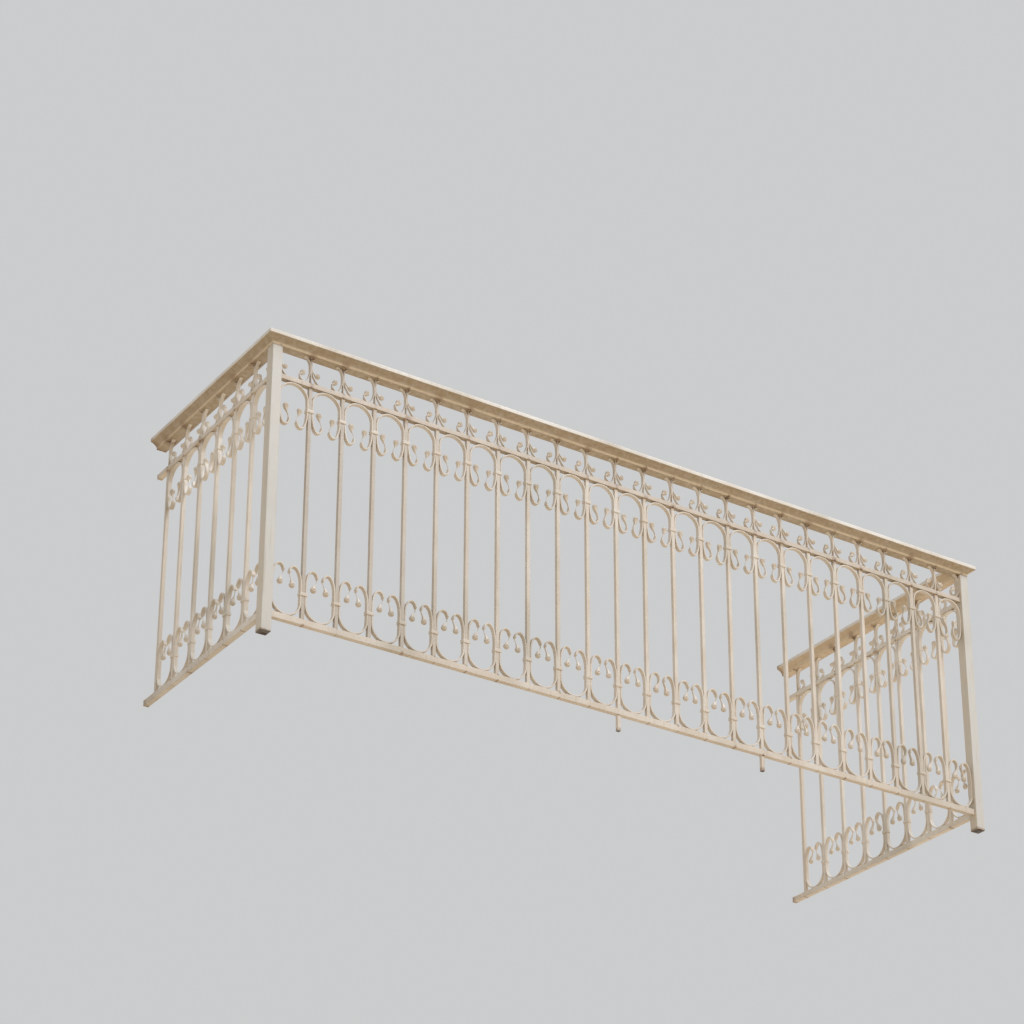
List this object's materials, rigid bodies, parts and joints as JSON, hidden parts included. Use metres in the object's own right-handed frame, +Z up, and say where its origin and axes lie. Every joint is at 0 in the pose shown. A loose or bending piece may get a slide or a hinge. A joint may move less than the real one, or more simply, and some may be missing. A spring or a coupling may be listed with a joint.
{
  "type": "wrought iron balcony railing",
  "caption": "Painted iron balcony railing with a front and two wall returns, square bars, C scrolls, a scrolled frieze and a moulded handrail.",
  "frame": {"origin": "centre of the left post's foot, on the floor slab", "axes": "+X along the front to the right post, +Y back to the wall, +Z up"},
  "size_m": [2.863, 1.0425, 1.02],
  "materials": {
    "iron_paint": "satin",
    "handrail_paint": "satin"
  },
  "bodies": {
    "root": {"left_post": "iron_paint", "right_post": "iron_paint", "front_handrail": "handrail_paint", "left_handrail": "handrail_paint", "right_handrail": "handrail_paint", "front_core_bar": "handrail_paint", "left_core_bar": "handrail_paint", "right_core_bar": "handrail_paint", "front_upper_rail": "iron_paint", "left_upper_rail": "iron_paint", "right_upper_rail": "iron_paint", "front_bottom_rail": "iron_paint", "left_bottom_rail": "iron_paint", "right_bottom_rail": "iron_paint", "front_bars": "iron_paint", "left_bars": "iron_paint", "right_bars": "iron_paint", "left_leg": "iron_paint", "right_leg": "iron_paint", "front_upper_scrolls": "iron_paint", "left_upper_scrolls": "iron_paint", "right_upper_scrolls": "iron_paint", "front_lower_scrolls": "iron_paint", "left_lower_scrolls": "iron_paint", "right_lower_scrolls": "iron_paint", "front_frieze_scrolls": "iron_paint", "left_frieze_scrolls": "iron_paint", "right_frieze_scrolls": "iron_paint", "front_upper_collars": "iron_paint", "left_upper_collars": "iron_paint", "right_upper_collars": "iron_paint", "front_lower_collars": "iron_paint", "left_lower_collars": "iron_paint", "right_lower_collars": "iron_paint"}
  },
  "joints": []
}
